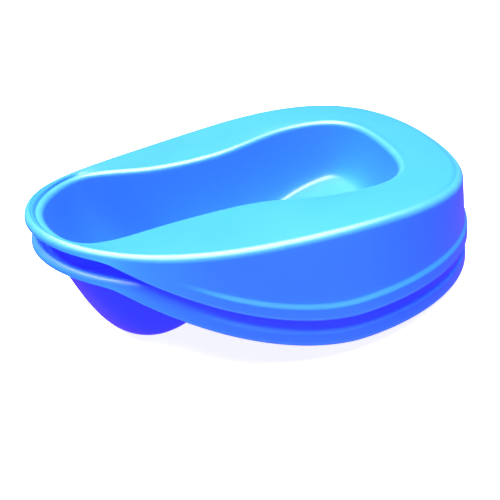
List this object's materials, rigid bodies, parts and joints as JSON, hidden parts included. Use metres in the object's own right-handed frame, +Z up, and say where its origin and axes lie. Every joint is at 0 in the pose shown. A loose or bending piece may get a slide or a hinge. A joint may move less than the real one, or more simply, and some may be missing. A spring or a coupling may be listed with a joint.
{
  "type": "stacked bedpans",
  "caption": "Contoured plastic bedpan nested on its twin: wide flat seat, keyhole opening, bowl deepest at the front, skirt with a stepped hem.",
  "frame": {"origin": "bottom centre of the stack's bounding box: the plane is the surface that the lower pan stands on", "axes": "+X from the high narrow front to the low wide rear, +Y across, +Z up"},
  "size_m": [0.3694, 0.3106, 0.1385],
  "materials": {
    "pan_plastic": "smooth moulded polypropylene, semi-gloss"
  },
  "bodies": {
    "lower_pan": {"lower_pan": "pan_plastic"},
    "upper_pan": {"upper_pan": "pan_plastic"}
  },
  "joints": [
    {"name": "upper_pan_lift", "type": "slide", "parent": "lower_pan", "child": "upper_pan", "axis": [0.0892, 0, 0.996], "range_m": [0, 0.12]}
  ]
}
